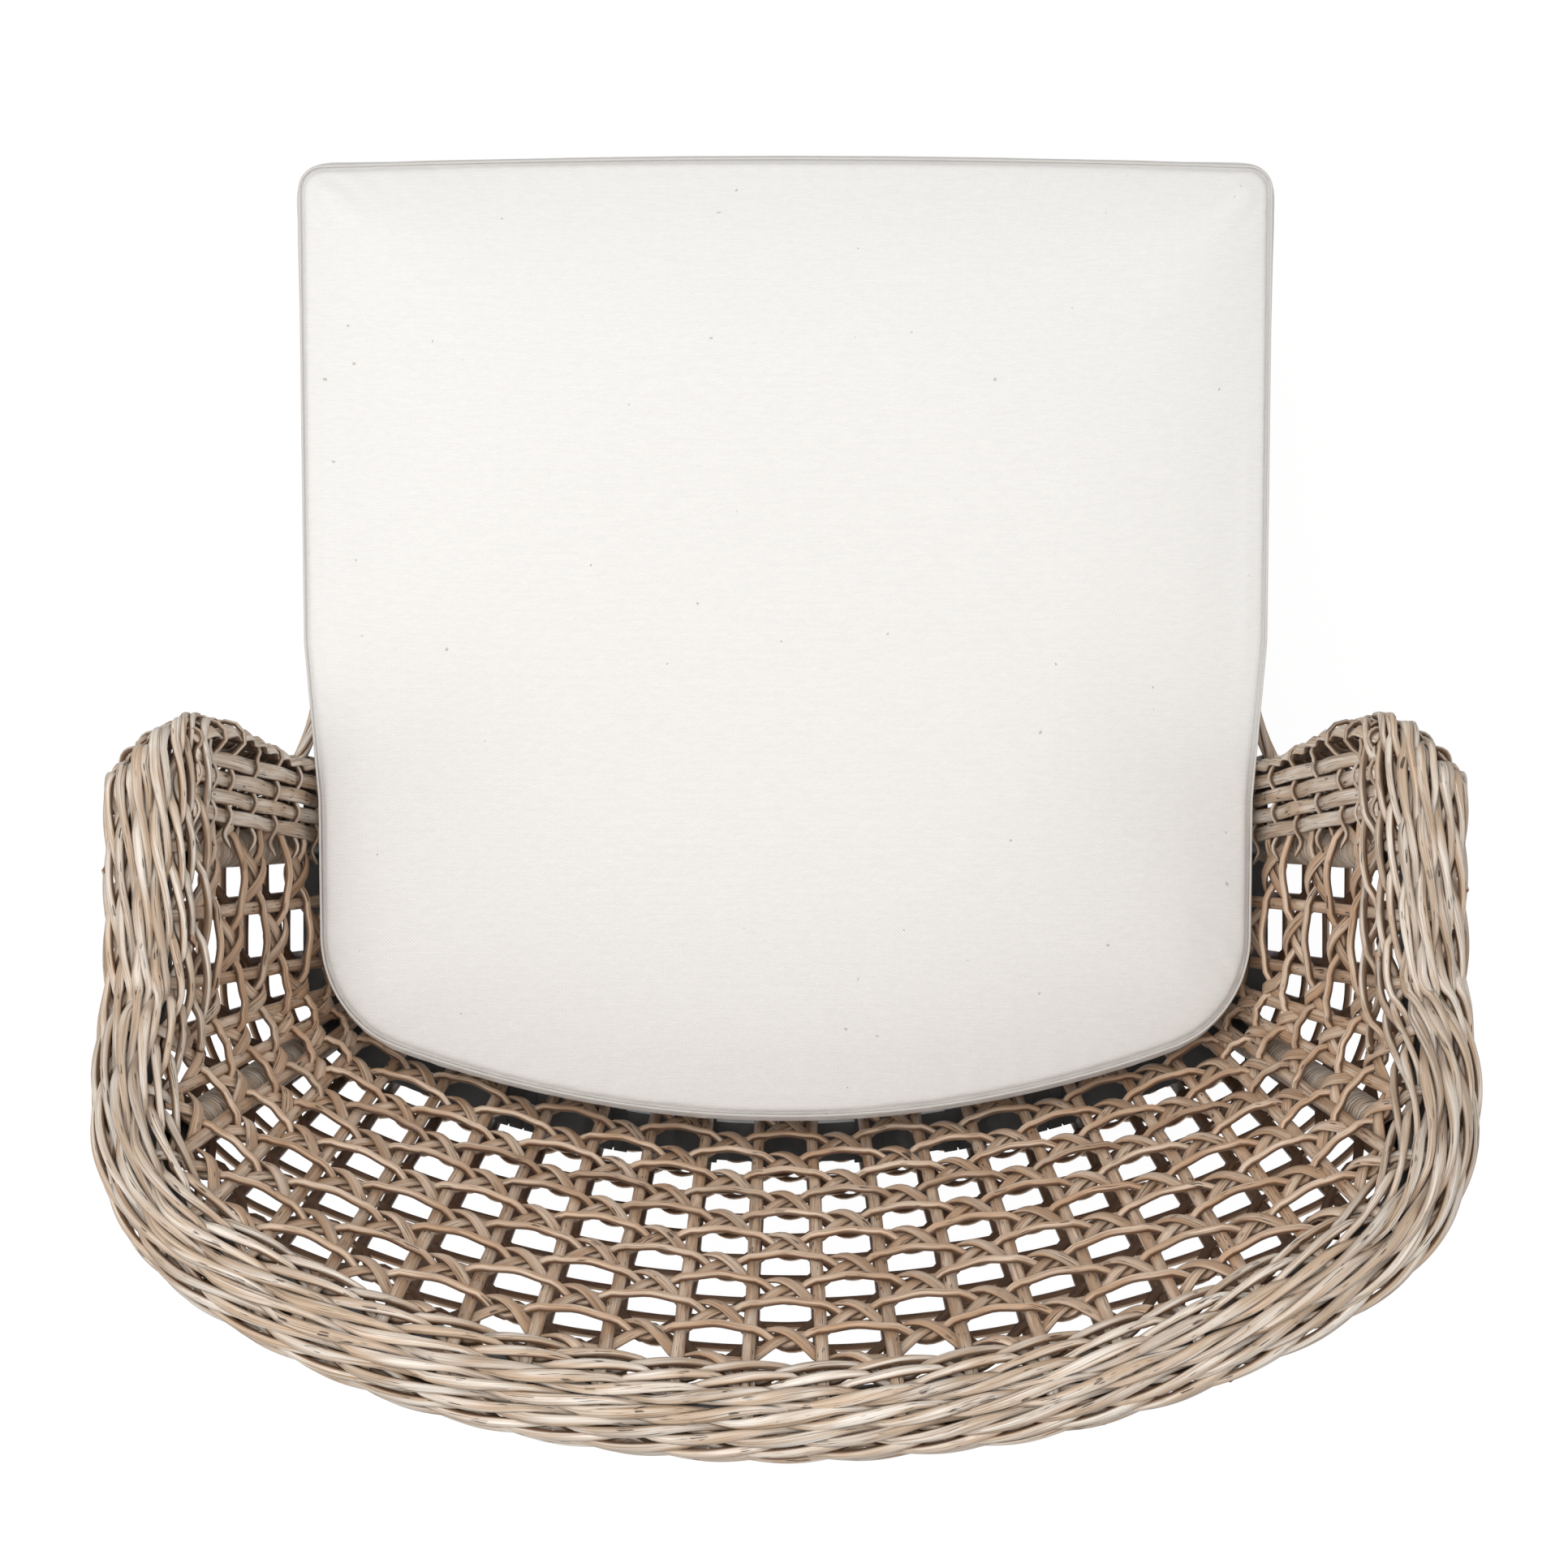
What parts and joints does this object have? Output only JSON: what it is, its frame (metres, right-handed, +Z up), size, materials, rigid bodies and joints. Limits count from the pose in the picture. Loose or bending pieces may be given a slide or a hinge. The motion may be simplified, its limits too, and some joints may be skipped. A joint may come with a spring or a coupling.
{
  "type": "woven tub armchair with loose seat cushion",
  "caption": "Open-weave round-backed tub armchair on a tube frame, with a thick loose box cushion that lifts off the strapped seat.",
  "frame": {"origin": "centre of the chair's footprint box, on the floor", "axes": "+Z up, -Y the front of the seat, X across the seat"},
  "size_m": [0.7976, 0.7617, 0.8],
  "materials": {
    "cane": "satin natural cane with pale grey crowns",
    "frame_paint": "satin dark brown powder coat",
    "deck_strap": "matte dark strapping",
    "cover_cloth": "off-white plain-weave canvas",
    "foam": "soft foam",
    "glide": "matte nylon",
    "zip_tape": "off-white woven tape",
    "zip_metal": "off-white enamel"
  },
  "bodies": {
    "chair": {"apron_stakes": "cane", "arm_front_left": "cane", "arm_front_right": "cane", "base_hoop": "cane", "base_rows": "cane", "front_cross_bar": "frame_paint", "front_left_glide": "glide", "front_left_leg": "frame_paint", "front_left_leg_binding": "cane", "front_right_glide": "glide", "front_right_leg": "frame_paint", "front_right_leg_binding": "cane", "inner_rows": "cane", "inner_stakes_back": "cane", "inner_stakes_left": "cane", "inner_stakes_right": "cane", "left_arm_post": "frame_paint", "left_arm_post_binding": "cane", "lower_border": "cane", "middle_cross_bar": "frame_paint", "outer_rows": "cane", "outer_stakes_back": "cane", "outer_stakes_left": "cane", "outer_stakes_right": "cane", "rear_cross_bar": "frame_paint", "rear_left_glide": "glide", "rear_left_leg": "frame_paint", "rear_left_leg_binding": "cane", "rear_left_post": "frame_paint", "rear_left_post_binding": "cane", "rear_right_glide": "glide", "rear_right_leg": "frame_paint", "rear_right_leg_binding": "cane", "rear_right_post": "frame_paint", "rear_right_post_binding": "cane", "right_arm_post": "frame_paint", "right_arm_post_binding": "cane", "rim_nose_left": "cane", "rim_nose_right": "cane", "rim_stake_bows": "cane", "rim_wale": "cane", "seat_front_border": "cane", "seat_rail_front": "frame_paint", "seat_rail_left": "frame_paint", "seat_rail_rear": "frame_paint", "seat_rail_right": "frame_paint", "seat_straps_1": "deck_strap", "seat_straps_2": "deck_strap", "seat_straps_3": "deck_strap", "seat_straps_4": "deck_strap", "seat_straps_5": "deck_strap", "seat_straps_6": "deck_strap", "seat_straps_7": "deck_strap", "top_rail": "frame_paint"},
    "cushion": {"cushion_cover": "cover_cloth", "foam_core": "foam", "zipper_tape": "zip_tape"},
    "slider": {"zipper_slider": "zip_metal"},
    "pull": {"zipper_pull": "zip_metal"}
  },
  "joints": [
    {"name": "cushion_lift", "type": "slide", "parent": "chair", "child": "cushion", "axis": [0, 0, 1], "range_m": [0, 0.15]},
    {"name": "zipper_run", "type": "hinge", "parent": "cushion", "child": "slider", "pos_m": [0, -0.46801, 0.3931], "axis": [0, 0, 1], "range_deg": [-33, 0]},
    {"name": "pull_swing", "type": "hinge", "parent": "slider", "child": "pull", "pos_m": [-0.20082, 0.20566, 0.3931], "axis": [-0.2857, 0.9583, 0], "range_deg": [-60, 60]}
  ]
}
